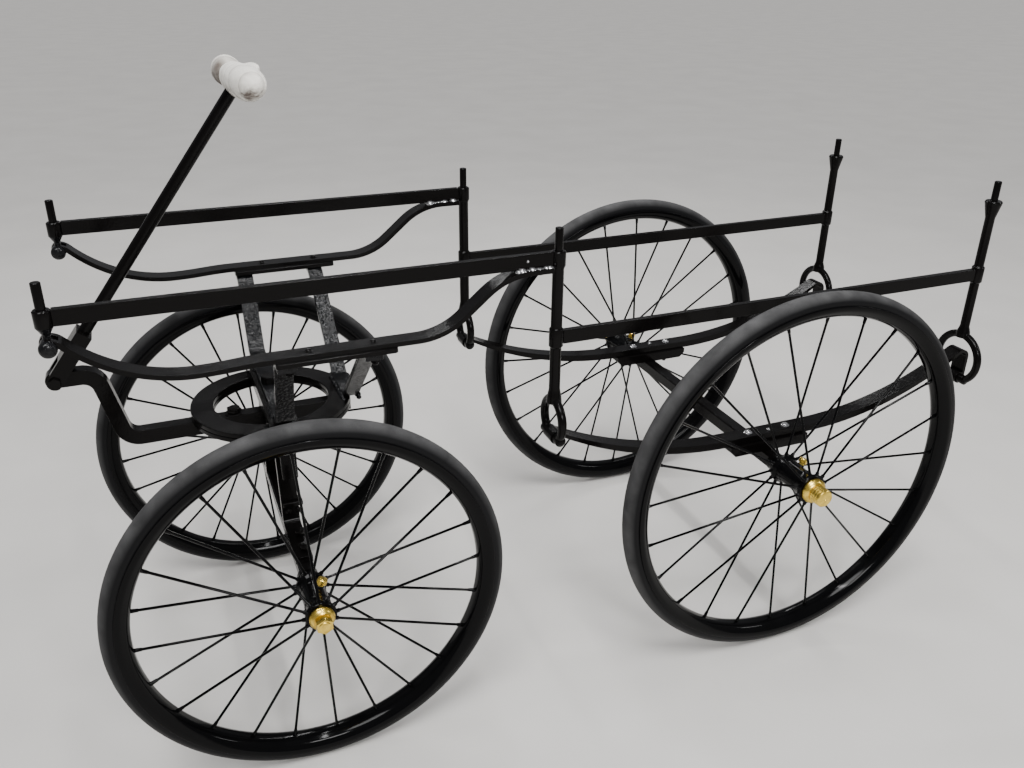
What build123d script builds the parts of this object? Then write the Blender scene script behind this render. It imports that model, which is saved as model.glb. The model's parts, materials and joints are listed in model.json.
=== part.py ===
from build123d import *
import os
from math import acos, atan2, cos, degrees, pi, radians, sin, tan

os.makedirs("parts", exist_ok=True)

# Running gear of a light four-wheeled show carriage: wire wheels, sprung rail frame,
# fifth-wheel steering and a hand draw pole. Millimetres, +X forward, +Y left, +Z up.

# Wheels and tyres
front_wheel_d = 660.4
rear_wheel_d = 762.0
wheelbase = 932.0
front_half_track = 312.5
rear_half_track = 350.5
tyre_width = 41.0
tyre_depth = 27.0
rim_width = 46.0
rim_depth = 19.0
rim_bed = 18.0
rim_wall = 3.0
rim_lip = 5.5
rim_flare = 2.5
crown_flats = 5
spoke_d = 4.2
spoke_count = 24
spoke_bite = 4.0

# Hubs, their spindles and brass caps
hub_flange_out = 42.0
hub_flange_t = 8.0
hub_inner_end = 62.0
spindle_d = 20.0
spindle_end = 40.0
running_fit = 0.05
end_play = 0.3
oiler_d = 17.0
oiler_h = 9.0
oiler_edge = 1.5
oiler_out = -8.0
oiler_back = 26.0

# Axles
front_axle_bar = 26.0
rear_axle_bar = 28.0
axle_collar_t = 10.0
axle_edge = 3.0

# Frame rails and the posts that carry the body
post_y = 236.0
front_post_ahead = 317.0
mid_post_ahead = 473.0
rear_post_back = 490.0
rail_t = 12.0
rail_h = 25.0
front_rail_top = 857.0
rear_rail_top = 715.0
stud_d = 14.0
stud_h = 39.0
boss_d = 25.0
front_post_d = 13.0
mid_post_d = 20.0
mid_flare_h = 26.0
rear_post_d = 19.0
rear_flare_h = 24.0
cone_d = 34.0
cone_h = 35.0

# Spring eyes, shackles and their bolts
leaf_w = 33.0
front_leaf_t = 8.0
rear_leaf_t = 7.0
rear_leaf_mid_t = 15.0
eye_r = 12.5
bolt_d = 10.0
bolt_head_d = 18.0
bolt_head_h = 6.0
hole_clear = 0.2
side_clear = 0.5
knuckle_w = 14.0
shackle_wire = 16.0
mid_shackle_r = 38.0
mid_shackle_drop = 31.0
rear_shackle_r = 52.0
rear_shackle_drop = 43.0
front_eye_drop = 28.0
mid_shackle_z = 544.5
rear_shackle_z = 515.0

# Front springs, from the eye down to the flat and up under the rail
front_flat_drop = 94.5
front_flat_to = 20.0
front_belly_dip = 4.5
front_lift_angle = 46.0
front_curl_r = 22.0
front_seat_l = 96.0
front_rise_angle = 40.0
front_rise_r = 120.0
tail_gap = 2.0
plate_t = 8.0
plate_w = 44.0
plate_back = 175.0
plate_front = 17.0

# Rear springs, symmetrical about their flat but folded down at the tail
rear_flat_half = 92.0
rear_tail_z = 532.0
fold_r = 16.0
saddle_h = 22.0
saddle_w = 46.0
saddle_chamfer = 12.0

# Yokes that drop from the springs to the fifth wheel
yoke_t = 9.0
yoke_end = 255.0
yoke_shoulder = 217.0
yoke_fillet = 22.0
front_yoke_w = 30.0
front_yoke_foot = 158.0
rear_yoke_w = 28.0
rear_yoke_foot = 45.0
rear_yoke_back = 136.0

# Fifth wheel, its bolster and king pin
ring_outer_r = 142.0
ring_inner_r = 102.0
ring_t = 9.0
ring_gap = 0.4
bolster_w = 48.0
bolster_h = 23.0
king_pin_d = 16.0
king_head_d = 30.0
king_head_h = 14.0
king_nut_h = 12.0

# Axle bed under the ring, the gooseneck and the draw pole
bed_bar = 24.0
bed_drop = 185.0
bed_w = 30.0
bed_leg_t = 12.0
bed_leg_top = 82.0
bed_leg_foot = 100.0
bed_foot_end = 222.0
bed_fillet = 16.0
goose_h = 26.0
goose_w = 24.0
goose_bend = 30.0
goose_drop_x = 250.0
goose_drop_back = 31.0
pivot_ahead = 343.0
pivot_z = 655.0
pivot_eye_d = 30.0
pivot_bolt_d = 12.0
pole_length = 577.0
pole_lean = 37.0
pole_d = 20.0
fork_cheek_t = 8.0
fork_width = 26.0
fork_crotch = 34.0
fork_length = 95.0
grip_d = 17.0
grip_length = 200.0
wrap_length = 236.0
wrap_d = 58.0
wrap_waist_d = 46.0
wrap_waist = 14.0
wrap_clear = 0.3

# Levels and stations that follow from the sizes above
front_r = front_wheel_d / 2
rear_r = rear_wheel_d / 2
front_axle_top = front_r + front_axle_bar / 2
rear_axle_top = rear_r + rear_axle_bar / 2
front_reach = wheelbase + pivot_ahead + pivot_eye_d / 2
rear_reach = rear_post_back + cone_d / 2
rear_axle_x = -(front_reach - rear_reach) / 2
front_axle_x = rear_axle_x + wheelbase
front_post_x = front_axle_x + front_post_ahead
mid_post_x = rear_axle_x + mid_post_ahead
rear_post_x = rear_axle_x - rear_post_back
front_rail_bottom = front_rail_top - rail_h
rear_rail_bottom = rear_rail_top - rail_h
front_eye_z = front_rail_bottom - front_eye_drop
front_flat_z = front_rail_bottom - front_flat_drop
front_belly_z = front_flat_z - front_belly_dip
plate_top = front_flat_z - front_leaf_t / 2
plate_bottom = plate_top - plate_t
yoke_top_z = plate_bottom - yoke_t / 2
bed_top = plate_bottom - bed_drop
bed_bottom = bed_top - bed_bar
lower_ring_top = bed_top + ring_t
upper_ring_bottom = lower_ring_top + ring_gap
upper_ring_top = upper_ring_bottom + ring_t
bolster_top = upper_ring_top + bolster_h
front_yoke_z = bolster_top + yoke_t / 2
rear_yoke_z = upper_ring_top + yoke_t / 2
king_head_bottom = bolster_top + yoke_t
rear_flat_z = rear_axle_top + saddle_h
mid_bolt_z = mid_shackle_z - mid_shackle_drop
rear_bolt_z = rear_shackle_z - rear_shackle_drop
mid_ring_top = mid_shackle_z + mid_shackle_r
rear_ring_top = rear_shackle_z + rear_shackle_r
bore_r = spindle_d / 2 + running_fit


def write(part, name):
    """Labels a finished piece and writes it."""
    part.label = name
    export_step(part, f"parts/{name}.step")


def write_pair(left, name):
    """Writes a piece of the left side and its mirror image on the right."""
    write(left, f"{name}_left")
    with BuildPart() as right:
        mirror(left, about=Plane.XZ)
    write(right.part, f"{name}_right")


# Wheels: every row is one axle's pair
wheel_rows = (
    # name, x, radius, half track, first spoke's angle, then the hub's
    # barrel d, flange d, cap d, nose d, nose length
    ("front", front_axle_x, front_r, front_half_track, 12.0, 42.0, 52.0, 42.0, 33.0, 16.0),
    ("rear", rear_axle_x, rear_r, rear_half_track, 2.0, 48.0, 60.0, 50.0, 36.0, 24.0),
)

for row in wheel_rows:
    name, x, r, half_track, first_spoke, barrel_d, flange_d, cap_d, nose_d, nose_l = row
    centre = Vector(x, half_track, r)
    axis = Axis(centre, (0, 1, 0))
    # In this section plane the first coordinate runs outboard and the second is the radius
    section = Plane(origin=centre, x_dir=(0, 1, 0), z_dir=(1, 0, 0))
    bed_r = r - tyre_depth
    crown_r = tyre_width / 2
    rim_half = rim_width / 2
    rim_inner_r = bed_r - rim_depth

    with BuildPart() as tyre:
        # The round crown is a few flats, so that the wheels mesh lightly
        flat_angle = pi / crown_flats
        corner_r = crown_r / cos(flat_angle / 2)
        crown = []
        for i in range(crown_flats + 1):
            turn = flat_angle * i
            reach = crown_r if i in (0, crown_flats) else corner_r
            crown.append((reach * cos(turn), r - crown_r + reach * sin(turn)))
        with BuildSketch(section):
            with BuildLine():
                Polyline((rim_bed, bed_r), *crown, (-rim_bed, bed_r), close=True)
            make_face()
        revolve(axis=axis)
    write_pair(tyre.part, f"{name}_tyre")

    with BuildPart() as wheel:
        # Rim: a flared channel that holds the tyre, over a deep rounded back
        with BuildSketch(section):
            with BuildLine():
                outboard = (
                    (rim_bed + side_clear, bed_r),
                    (rim_bed + side_clear + rim_flare, bed_r + rim_lip),
                    (rim_half, bed_r + rim_lip),
                    (rim_half, bed_r - rim_wall),
                    (rim_half * 0.72, rim_inner_r + rim_depth * 0.25),
                    (rim_half * 0.3, rim_inner_r),
                )
                inboard = [(-across, out) for across, out in reversed(outboard)]
                Polyline(*outboard, *inboard, close=True)
            make_face()
        revolve(axis=axis)
        # Hub: a barrel between two flanges, bored for the spindle
        flange_in = hub_flange_out - hub_flange_t / 2
        flange_end = hub_flange_out + hub_flange_t / 2
        with BuildSketch(section):
            with BuildLine():
                Polyline(
                    (-hub_inner_end, bore_r),
                    (-hub_inner_end, barrel_d * 0.42),
                    (-flange_end - 3, barrel_d * 0.42),
                    (-flange_end, flange_d / 2 - 2),
                    (-flange_end + 2, flange_d / 2),
                    (-flange_in, flange_d / 2),
                    (-flange_in + 6, barrel_d / 2),
                    (flange_in - 6, barrel_d / 2),
                    (flange_in, flange_d / 2),
                    (flange_end - 2, flange_d / 2),
                    (flange_end, flange_d / 2 - 2),
                    (flange_end, bore_r),
                    close=True,
                )
            make_face()
        revolve(axis=axis)
        # Spokes: radial, from either flange in turn to the middle of the rim
        for i in range(spoke_count):
            turn = first_spoke + 360.0 / spoke_count * i
            side = 1 if i % 2 else -1
            radial = Vector(cos(radians(turn)), 0, sin(radians(turn)))
            root = centre + radial * (flange_d / 2 - spoke_bite)
            root += Vector(0, side * hub_flange_out, 0)
            tip = centre + radial * (rim_inner_r + spoke_bite)
            with BuildSketch(Plane(origin=root, z_dir=tip - root)):
                RegularPolygon(radius=spoke_d / 2, side_count=6)
            extrude(amount=(tip - root).length)
        # Flat seat for the oiler, leaning back from the top of the barrel
        lean = Vector(-sin(radians(oiler_back)), 0, cos(radians(oiler_back)))
        seat = centre + Vector(0, oiler_out, 0) + lean * (barrel_d / 2 - 3)
        with BuildSketch(Plane(origin=seat, z_dir=lean)):
            Circle(oiler_d * 0.4)
        extrude(amount=6)
    write_pair(wheel.part, f"{name}_wheel")

    with BuildPart() as brass:
        # Cap: a turned foot on the flange with a nose that a spanner fits
        foot = Plane(origin=centre + Vector(0, flange_end, 0), z_dir=(0, 1, 0))
        with BuildSketch(foot):
            Circle(cap_d / 2)
        extrude(amount=9)
        with BuildSketch(foot.offset(9)):
            Circle(cap_d / 2 - 1.5)
        extrude(amount=4, taper=30)
        with BuildSketch(foot.offset(13)):
            if name == "front":
                RegularPolygon(radius=nose_d / 2, side_count=6)
            else:
                Circle(nose_d / 2)
        extrude(amount=nose_l - 3, taper=2)
        with BuildSketch(foot.offset(10 + nose_l)):
            Circle(nose_d / 2 - 3)
        extrude(amount=3, taper=35)
        # Oiler: a short neck under a screwed cap
        with BuildSketch(Plane(origin=seat + lean * 6, z_dir=lean)):
            Circle(oiler_d * 0.32)
        extrude(amount=4)
        with BuildSketch(Plane(origin=seat + lean * 10, z_dir=lean)):
            Circle(oiler_d / 2)
        extrude(amount=oiler_h - oiler_edge)
        with BuildSketch(Plane(origin=seat + lean * (10 + oiler_h - oiler_edge), z_dir=lean)):
            Circle(oiler_d / 2)
        extrude(amount=oiler_edge, taper=45)
    write_pair(brass.part, f"{name}_hub_brass")

# Axles: square bars with collars and turned spindles
axle_rows = (
    # name, x, radius, half track, bar
    ("front_axle", front_axle_x, front_r, front_half_track, front_axle_bar),
    ("rear_axle", rear_axle_x, rear_r, rear_half_track, rear_axle_bar),
)
for name, x, r, half_track, bar in axle_rows:
    collar_end = half_track - hub_inner_end - end_play
    bar_end = collar_end - axle_collar_t
    with BuildPart() as axle:
        with BuildSketch(Plane(origin=(x, -bar_end, r), x_dir=(1, 0, 0), z_dir=(0, 1, 0))):
            Rectangle(bar, bar)
        extrude(amount=2 * bar_end)
        chamfer(axle.edges().filter_by(Axis.Y), axle_edge)
        for side in (-1, 1):
            end = Plane(origin=(x, side * bar_end, r), z_dir=(0, side, 0))
            with BuildSketch(end):
                Circle(bar / 2 + 5)
            extrude(amount=axle_collar_t)
            with BuildSketch(end.offset(axle_collar_t)):
                Circle(spindle_d / 2)
            extrude(amount=half_track + spindle_end - collar_end)
    write(axle.part, name)


# Posts: turned bars whose outline is a table of heights and radii
post_rows = (
    # name, x, shackle's (centre height, radius, drop to its bolt) or None,
    # outline of (z, r) from the foot up
    (
        "front_post",
        front_post_x,
        None,
        (
            (front_eye_z, front_post_d / 2),
            (front_eye_z + 16, front_post_d / 2 - 1),
            (front_rail_bottom - 10, front_post_d / 2),
            (front_rail_bottom, boss_d / 2),
            (front_rail_top - 2, boss_d / 2),
            (front_rail_top, boss_d / 2 - 2),
        ),
    ),
    (
        "mid_post",
        mid_post_x,
        (mid_shackle_z, mid_shackle_r, mid_shackle_drop),
        (
            (mid_ring_top - 4, mid_post_d / 2 + 4),
            (mid_ring_top + 7, mid_post_d / 2 + 3),
            (mid_ring_top - 4 + mid_flare_h, mid_post_d / 2),
            (rear_rail_bottom - 6, mid_post_d / 2),
            (rear_rail_bottom - 3, boss_d / 2),
            (rear_rail_top + 3, boss_d / 2),
            (rear_rail_top + 6, mid_post_d / 2),
            (front_rail_bottom - 6, mid_post_d / 2),
            (front_rail_bottom, boss_d / 2),
            (front_rail_top - 2, boss_d / 2),
            (front_rail_top, boss_d / 2 - 2),
        ),
    ),
    (
        "rear_post",
        rear_post_x,
        (rear_shackle_z, rear_shackle_r, rear_shackle_drop),
        (
            (rear_ring_top - 4, rear_post_d / 2 + 5),
            (rear_ring_top + 7, rear_post_d / 2 + 4),
            (rear_ring_top - 4 + rear_flare_h, rear_post_d / 2),
            (rear_rail_bottom - 6, rear_post_d / 2),
            (rear_rail_bottom - 3, boss_d / 2),
            (rear_rail_top + 3, boss_d / 2),
            (rear_rail_top + 6, rear_post_d / 2),
            (front_rail_top - cone_h, rear_post_d / 2),
            (front_rail_top - 3, cone_d / 2),
            (front_rail_top, cone_d / 2 - 2),
        ),
    ),
)
for name, x, shackle, outline in post_rows:
    foot_z = outline[0][0]
    radii = [(radius, z) for z, radius in outline]
    stud_top = front_rail_top + stud_h
    with BuildPart() as post:
        with BuildSketch(Plane(origin=(x, post_y, 0), x_dir=(1, 0, 0), z_dir=(0, -1, 0))):
            with BuildLine():
                Polyline(
                    (0, foot_z),
                    *radii,
                    (stud_d / 2, front_rail_top),
                    (stud_d / 2, stud_top - 1),
                    (stud_d / 2 - 1, stud_top),
                    (0, stud_top),
                    close=True,
                )
            make_face()
        revolve(axis=Axis((x, post_y, 0), (0, 0, 1)))
        if shackle is None:
            # Knuckle that the spring's eye straddles
            with BuildSketch(Plane(origin=(x, post_y - knuckle_w / 2, front_eye_z), z_dir=(0, 1, 0))):
                Circle(eye_r - 1)
            extrude(amount=knuckle_w)
            bolt_z = front_eye_z
        else:
            # Open ring in the cross plane, closed by the bolt through its two lugs
            ring_z, ring_r, drop = shackle
            half_gap = acos(drop / ring_r)
            spoke_dir = Vector(0, sin(half_gap), -cos(half_gap))
            ring_start = Vector(x, post_y, ring_z) + spoke_dir * ring_r
            around = Vector(0, -spoke_dir.Z, spoke_dir.Y)
            with BuildSketch(Plane(origin=ring_start, x_dir=(1, 0, 0), z_dir=around)):
                Circle(shackle_wire / 2)
            revolve(axis=Axis((x, post_y, ring_z), (1, 0, 0)), revolution_arc=360 - 2 * degrees(half_gap))
            bolt_z = ring_z - drop
            for side in (-1, 1):
                inner = leaf_w / 2 + side_clear
                lug = Plane(origin=(x, post_y + side * inner, bolt_z), z_dir=(0, side, 0))
                with BuildSketch(lug):
                    Circle(shackle_wire / 2 + 2)
                extrude(amount=shackle_wire)
            # The ring's wire may not stand into the space of the spring's eye
            with BuildSketch(Plane(origin=(x, post_y - leaf_w / 2 - side_clear, bolt_z), z_dir=(0, 1, 0))):
                Circle(eye_r + 1)
            extrude(amount=leaf_w + 2 * side_clear, mode=Mode.SUBTRACT)
        with BuildSketch(Plane(origin=(x, post_y - leaf_w, bolt_z), z_dir=(0, 1, 0))):
            Circle((bolt_d + hole_clear) / 2)
        extrude(amount=2 * leaf_w, mode=Mode.SUBTRACT)
    write_pair(post.part, name)

# Bolts through the spring eyes, one on each side of the frame
shackle_grip = leaf_w / 2 + side_clear + shackle_wire
bolt_rows = (
    # name, x, z, half grip, height of the domed heads (0 for a flush pin)
    ("front_eye_bolts", front_post_x, front_eye_z, leaf_w / 2, bolt_head_h),
    ("mid_shackle_pins", mid_post_x, mid_bolt_z, shackle_grip, 0),
    ("rear_shackle_pins", rear_post_x, rear_bolt_z, shackle_grip, 0),
)
for name, x, z, grip, head_h in bolt_rows:
    with BuildPart() as bolts:
        with BuildSketch(Plane(origin=(x, post_y - grip, z), z_dir=(0, 1, 0))):
            Circle(bolt_d / 2)
        extrude(amount=2 * grip)
        if head_h:
            for side in (-1, 1):
                face = Plane(origin=(x, post_y + side * grip, z), z_dir=(0, side, 0))
                with BuildSketch(face):
                    Circle(bolt_head_d / 2)
                extrude(amount=head_h * 0.5)
                with BuildSketch(face.offset(head_h * 0.5)):
                    Circle(bolt_head_d / 2)
                extrude(amount=head_h * 0.5, taper=35)
        mirror(about=Plane.XZ)
    write(bolts.part, name)

# Rails: flat bars on edge between the posts' bosses
rail_rows = (
    # name, rear end x, front end x, top
    ("front_rail", mid_post_x, front_post_x, front_rail_top),
    ("rear_rail", rear_post_x, mid_post_x, rear_rail_top),
)
for name, x_rear, x_front, top in rail_rows:
    with BuildPart() as rail:
        with BuildSketch(Plane.YZ.offset(x_rear)):
            with Locations((post_y, top - rail_h / 2)):
                Rectangle(rail_t, rail_h)
        extrude(amount=x_front - x_rear)
        for x in (x_rear, x_front):
            with BuildSketch(Plane.XY.offset(top - rail_h - 1)):
                with Locations((x, post_y)):
                    Circle(boss_d / 2 + end_play)
            extrude(amount=rail_h + 2, mode=Mode.SUBTRACT)
    write_pair(rail.part, name)

# Front springs: one leaf, from the eye at the front post to its seat under the rail
x_a = front_axle_x
with BuildPart() as spring:
    with BuildSketch(Plane.XZ.offset(-post_y)):
        with BuildLine():
            seat_z = front_rail_bottom - front_leaf_t / 2
            rise_x = mid_post_x + front_seat_l
            rise_l = (seat_z - front_flat_z) / tan(radians(front_rise_angle))
            FilletPolyline(
                (mid_post_x + boss_d / 2 + tail_gap, seat_z),
                (rise_x, seat_z),
                (rise_x + rise_l, front_flat_z),
                (x_a, front_flat_z),
                radius=front_rise_r,
            )
            flat = Line((x_a, front_flat_z), (x_a + front_flat_to, front_flat_z))
            # Two arcs lift the leaf from its belly and curl it over the eye
            lift = radians(front_lift_angle)
            eye_top = front_eye_z + eye_r - front_leaf_t / 2
            knee_x = front_post_x - front_curl_r * sin(lift)
            knee_z = eye_top - front_curl_r * (1 - cos(lift))
            belly_x = knee_x - (knee_z - front_belly_z) / tan(lift / 2)
            dip_x = (x_a + front_flat_to + belly_x) / 2
            dip_z = (front_flat_z + front_belly_z) / 2
            dip = TangentArc(flat @ 1, (dip_x, dip_z), tangent=(1, 0))
            belly = TangentArc(dip @ 1, (belly_x, front_belly_z), tangent=dip % 1)
            rise = TangentArc(belly @ 1, (knee_x, knee_z), tangent=(1, 0))
            TangentArc(rise @ 1, (front_post_x, eye_top), tangent=rise % 1)
        trace(line_width=front_leaf_t)
        with Locations((front_post_x, front_eye_z)):
            Circle(eye_r)
            Circle((bolt_d + hole_clear) / 2, mode=Mode.SUBTRACT)
    extrude(amount=leaf_w / 2, both=True)
    # Slot for the post's knuckle
    slot_w = knuckle_w + 2 * side_clear
    with BuildSketch(Plane(origin=(front_post_x, post_y - slot_w / 2, front_eye_z), z_dir=(0, 1, 0))):
        Circle(eye_r + slot_w / 4)
    extrude(amount=slot_w, mode=Mode.SUBTRACT)
write_pair(spring.part, "front_spring")

# Plates under the flats of the front springs
with BuildPart() as plate:
    with BuildSketch(Plane.XY.offset(plate_bottom)):
        with Locations((x_a + (plate_front - plate_back) / 2, post_y)):
            RectangleRounded(plate_front + plate_back, plate_w, 6)
    extrude(amount=plate_t)
write_pair(plate.part, "front_spring_plate")

# Rear springs: eye at the mid post, flat over the axle, tail folded down to its own eye
x_b = rear_axle_x
eye_top = mid_bolt_z + eye_r
leg_x = rear_post_x - eye_r + rear_leaf_t / 2
tail_from = x_b - rear_flat_half
rise = rear_tail_z - rear_flat_z - rear_leaf_mid_t / 2
slope = 2 * atan2(rise, tail_from - leg_x)
tail = Vector(leg_x + fold_r * (1 + sin(slope)), rear_tail_z)
slope = 2 * atan2(rise, tail_from - tail.X)
square = Vector(sin(slope), cos(slope)) * (rear_leaf_t / 2)
with BuildPart() as spring:
    with BuildSketch(Plane.XZ.offset(-post_y)):
        # The leaf is thick over the axle and tapers to both ends
        with BuildLine():
            under = Line((tail_from, rear_flat_z), (x_b + rear_flat_half, rear_flat_z))
            over = Line(under @ 0 + Vector(0, rear_leaf_mid_t), under @ 1 + Vector(0, rear_leaf_mid_t))
            TangentArc(under @ 1, (mid_post_x, eye_top - rear_leaf_t), tangent=(1, 0))
            TangentArc(over @ 1, (mid_post_x, eye_top), tangent=(1, 0))
            Line((mid_post_x, eye_top - rear_leaf_t), (mid_post_x, eye_top))
            TangentArc(under @ 0, tail - square, tangent=(-1, 0))
            TangentArc(over @ 0, tail + square, tangent=(-1, 0))
            Line(tail - square, tail + square)
        make_face()
        with BuildLine() as path:
            fold = JernArc(tail, (-cos(slope), sin(slope)), fold_r, 90 + degrees(slope))
            Line(fold @ 1, ((fold @ 1).X, rear_bolt_z))
        trace(path.line, line_width=rear_leaf_t)
        for x, z in ((mid_post_x, mid_bolt_z), (rear_post_x, rear_bolt_z)):
            with Locations((x, z)):
                Circle(eye_r)
        for x, z in ((mid_post_x, mid_bolt_z), (rear_post_x, rear_bolt_z)):
            with Locations((x, z)):
                Circle((bolt_d + hole_clear) / 2, mode=Mode.SUBTRACT)
    extrude(amount=leaf_w / 2, both=True)
write_pair(spring.part, "rear_spring")

# Saddles between the rear axle and the springs
with BuildPart() as saddle:
    with BuildSketch(Plane.XZ.offset(-post_y)):
        with Locations((x_b, rear_axle_top + saddle_h / 2)):
            Rectangle(2 * rear_flat_half, saddle_h)
        chamfer(vertices().group_by(Axis.Y)[0], saddle_chamfer)
    extrude(amount=saddle_w / 2, both=True)
write_pair(saddle.part, "rear_saddle")

# Yokes: flat straps dropped from the spring plates to the fifth wheel
yoke_rows = (
    # name, x, width, foot half length, foot height
    ("front_yoke", front_axle_x, front_yoke_w, front_yoke_foot, front_yoke_z),
    ("rear_yoke", front_axle_x - rear_yoke_back, rear_yoke_w, rear_yoke_foot, rear_yoke_z),
)
for name, x, width, foot, foot_z in yoke_rows:
    with BuildPart() as yoke:
        with BuildSketch(Plane.YZ.offset(x)):
            with BuildLine():
                FilletPolyline(
                    (-yoke_end, yoke_top_z),
                    (-yoke_shoulder, yoke_top_z),
                    (-foot, foot_z),
                    (foot, foot_z),
                    (yoke_shoulder, yoke_top_z),
                    (yoke_end, yoke_top_z),
                    radius=yoke_fillet,
                )
            trace(line_width=yoke_t)
        extrude(amount=width / 2, both=True)
        with BuildSketch(Plane.XY.offset(foot_z - yoke_t)):
            with Locations((front_axle_x, 0)):
                Circle((king_pin_d + hole_clear) / 2)
        extrude(amount=2 * yoke_t, mode=Mode.SUBTRACT)
    write(yoke.part, name)

# Fifth wheel: the upper ring rides on the lower one
ring_rows = (
    # name, bottom
    ("upper_ring", upper_ring_bottom),
    ("lower_ring", bed_top),
)
for name, bottom in ring_rows:
    with BuildPart() as ring:
        with BuildSketch(Plane.XY.offset(bottom)):
            with Locations((front_axle_x, 0)):
                Circle(ring_outer_r)
                Circle(ring_inner_r, mode=Mode.SUBTRACT)
        extrude(amount=ring_t)
        chamfer(ring.edges().filter_by(GeomType.CIRCLE), 1)
    write(ring.part, name)

# Bolster between the upper ring and the front yoke
with BuildPart() as bolster:
    with BuildSketch(Plane.YZ.offset(front_axle_x)):
        with Locations((0, upper_ring_top + bolster_h / 2)):
            Rectangle(2 * ring_outer_r, bolster_h)
        chamfer(vertices().group_by(Axis.Y)[-1], bolster_h * 0.5)
    extrude(amount=bolster_w / 2, both=True)
    with BuildSketch(Plane.XY.offset(upper_ring_top)):
        with Locations((front_axle_x, 0)):
            Circle((king_pin_d + hole_clear) / 2)
    extrude(amount=bolster_h, mode=Mode.SUBTRACT)
write(bolster.part, "bolster")

# King pin: head on the front yoke, nut under the axle bed
with BuildPart() as king_pin:
    with BuildSketch(Plane.XY.offset(king_head_bottom)):
        with Locations((front_axle_x, 0)):
            RegularPolygon(radius=king_head_d / 2, side_count=6)
    extrude(amount=king_head_h)
    with BuildSketch(Plane.XY.offset(bed_bottom - ring_gap - king_nut_h)):
        with Locations((front_axle_x, 0)):
            Circle(king_pin_d / 2)
    extrude(amount=king_head_bottom - bed_bottom + ring_gap + king_nut_h)
    with BuildSketch(Plane.XY.offset(bed_bottom - ring_gap - king_nut_h)):
        with Locations((front_axle_x, 0)):
            RegularPolygon(radius=king_head_d / 2, side_count=6)
    extrude(amount=king_nut_h)
write(king_pin.part, "king_pin")

# Axle bed: a cross under the lower ring on two legs that stand on the front axle
with BuildPart() as bed:
    with BuildSketch(Plane.YZ.offset(front_axle_x)):
        with BuildLine():
            foot_z = front_axle_top + bed_leg_t / 2
            FilletPolyline(
                (bed_foot_end, foot_z),
                (bed_leg_foot, foot_z),
                (bed_leg_top, bed_bottom + 1),
                radius=bed_fillet,
            )
        trace(line_width=bed_leg_t)
        mirror(about=Plane.YZ)
        with Locations((0, bed_top - bed_bar / 2)):
            Rectangle(2 * ring_outer_r, bed_bar)
    extrude(amount=bed_w / 2, both=True)
    with BuildSketch(Plane.XZ):
        arm = ring_outer_r - bed_w / 2
        with Locations((front_axle_x - bed_w / 2 - arm / 2, bed_top - bed_bar / 2)):
            Rectangle(arm, bed_bar)
    extrude(amount=goose_w / 2, both=True)
    with BuildSketch(Plane.XY.offset(bed_bottom)):
        with Locations((front_axle_x, 0)):
            Circle(king_pin_d / 2 + running_fit)
    extrude(amount=bed_bar, mode=Mode.SUBTRACT)
write(bed.part, "axle_bed")

# Gooseneck: a bent bar from the axle bed up to the draw pole's pivot
pivot_x = front_axle_x + pivot_ahead
with BuildPart() as goose:
    with BuildSketch(Plane.XZ):
        with BuildLine():
            goose_z = bed_top - goose_h / 2
            FilletPolyline(
                (front_axle_x + bed_w / 2, goose_z),
                (front_axle_x + goose_drop_x, goose_z),
                (front_axle_x + goose_drop_x + goose_drop_back, pivot_z),
                (pivot_x, pivot_z),
                radius=goose_bend,
            )
        trace(line_width=goose_h)
        with Locations((pivot_x, pivot_z)):
            Circle(pivot_eye_d / 2)
            Circle(pivot_bolt_d / 2 + running_fit, mode=Mode.SUBTRACT)
    extrude(amount=goose_w / 2, both=True)
write(goose.part, "gooseneck")

# Draw pole: a fork on the gooseneck's eye, a round shaft and a cross grip
lean_dir = Vector(-sin(radians(pole_lean)), 0, cos(radians(pole_lean)))
pivot = Vector(pivot_x, 0, pivot_z)
cheek_in = goose_w / 2 + side_clear
cheek_out = cheek_in + fork_cheek_t
# In this plane the first coordinate runs along the pole and the second is square to it
pole_plane = Plane(origin=pivot, x_dir=lean_dir, z_dir=(0, -1, 0))
with BuildPart() as pole:
    with BuildSketch(pole_plane):
        Circle(fork_width / 2)
        with Locations((fork_length / 2, 0)):
            Rectangle(fork_length, fork_width)
        chamfer(vertices().group_by(lambda v: round((v.center() - pivot).dot(lean_dir), 1))[-1], 6)
        Circle(pivot_bolt_d / 2 + running_fit, mode=Mode.SUBTRACT)
    extrude(amount=cheek_out, both=True)
    # Gap that the gooseneck stands in
    with BuildSketch(pole_plane):
        with Locations(((fork_crotch - fork_width) / 2, 0)):
            Rectangle(fork_crotch + fork_width, 2 * fork_width)
    extrude(amount=cheek_in, both=True, mode=Mode.SUBTRACT)
    # Each cheek tapers in towards the shaft
    with BuildSketch(Plane(origin=pivot + lean_dir * (fork_length - 12), z_dir=lean_dir)):
        Circle(pole_d / 2)
    extrude(amount=pole_length - fork_length + 12)
    grip_at = pivot + lean_dir * pole_length
    with BuildSketch(Plane(origin=grip_at - Vector(0, grip_length / 2, 0), z_dir=(0, 1, 0))):
        Circle(grip_d / 2)
    extrude(amount=grip_length)
write(pole.part, "draw_pole")

# Bolt at the foot of the draw pole
with BuildPart() as pole_bolt:
    with BuildSketch(Plane(origin=pivot - Vector(0, cheek_out, 0), z_dir=(0, 1, 0))):
        Circle(pivot_bolt_d / 2)
    extrude(amount=2 * cheek_out)
    for side in (-1, 1):
        head = Plane(origin=pivot + Vector(0, side * (cheek_out + end_play), 0), z_dir=(0, side, 0))
        with BuildSketch(head):
            RegularPolygon(radius=bolt_head_d / 2 + 1, side_count=6)
        extrude(amount=bolt_head_h)
        with BuildSketch(head):
            Circle(pivot_bolt_d / 2)
        extrude(amount=-2 * end_play)
write(pole_bolt.part, "pole_bolt")

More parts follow.
